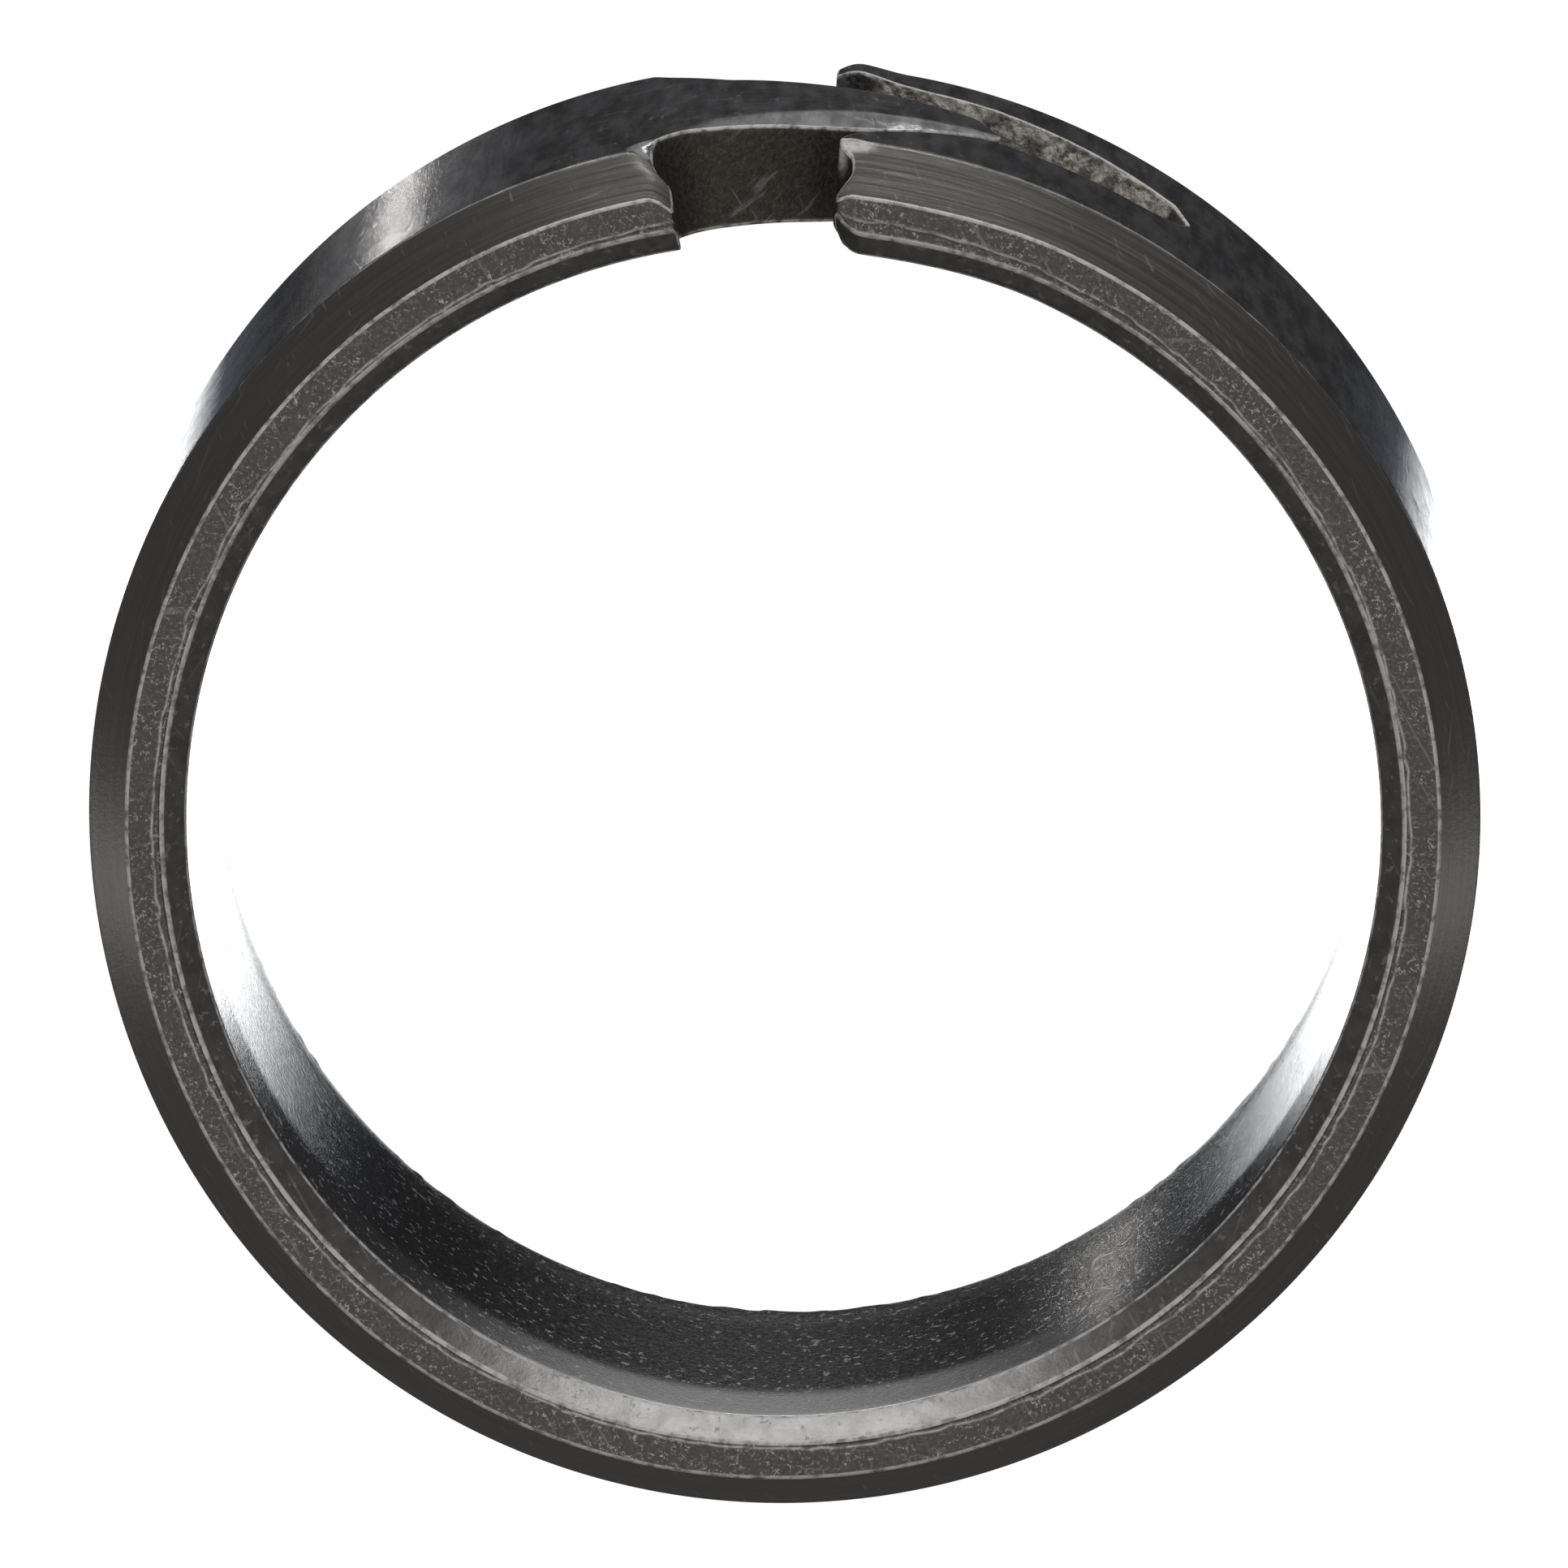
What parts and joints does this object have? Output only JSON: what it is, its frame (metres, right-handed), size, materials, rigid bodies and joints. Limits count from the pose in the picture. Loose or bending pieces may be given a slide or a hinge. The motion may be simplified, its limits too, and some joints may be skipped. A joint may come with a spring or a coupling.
{
  "type": "split spring collar",
  "caption": "One-piece split spring collar in blackened steel, with a chamfered front face and a tapered tongue that enters a slot in its other end.",
  "frame": {"origin": "on the ring's axis, in the plane of its flat rear face", "axes": "+Z along the ring's axis, from the rear face to the chamfered front face; +Y from the axis to the joint between the two ends; +X to the side of the slotted end"},
  "size_m": [0.03, 0.03, 0.0111],
  "materials": {
    "blackened_steel": "turned spring steel, blackened, worn bright along its edges"
  },
  "bodies": {
    "back_arc": {"back_arc": "blackened_steel"},
    "tongue_arm": {"tongue_arm": "blackened_steel"},
    "slot_arm": {"slot_arm": "blackened_steel"}
  },
  "joints": [
    {"name": "tongue_side_flex", "type": "hinge", "parent": "back_arc", "child": "tongue_arm", "pos_m": [-0.01204, -0.00695, 0.00555], "axis": [0, 0, 1], "range_deg": [-1, 2.75], "stiffness_Nm_per_rad": 71},
    {"name": "slot_side_flex", "type": "hinge", "parent": "back_arc", "child": "slot_arm", "pos_m": [0.01204, -0.00695, 0.00555], "axis": [0, 0, -1], "range_deg": [-1, 2.75], "stiffness_Nm_per_rad": 71}
  ]
}
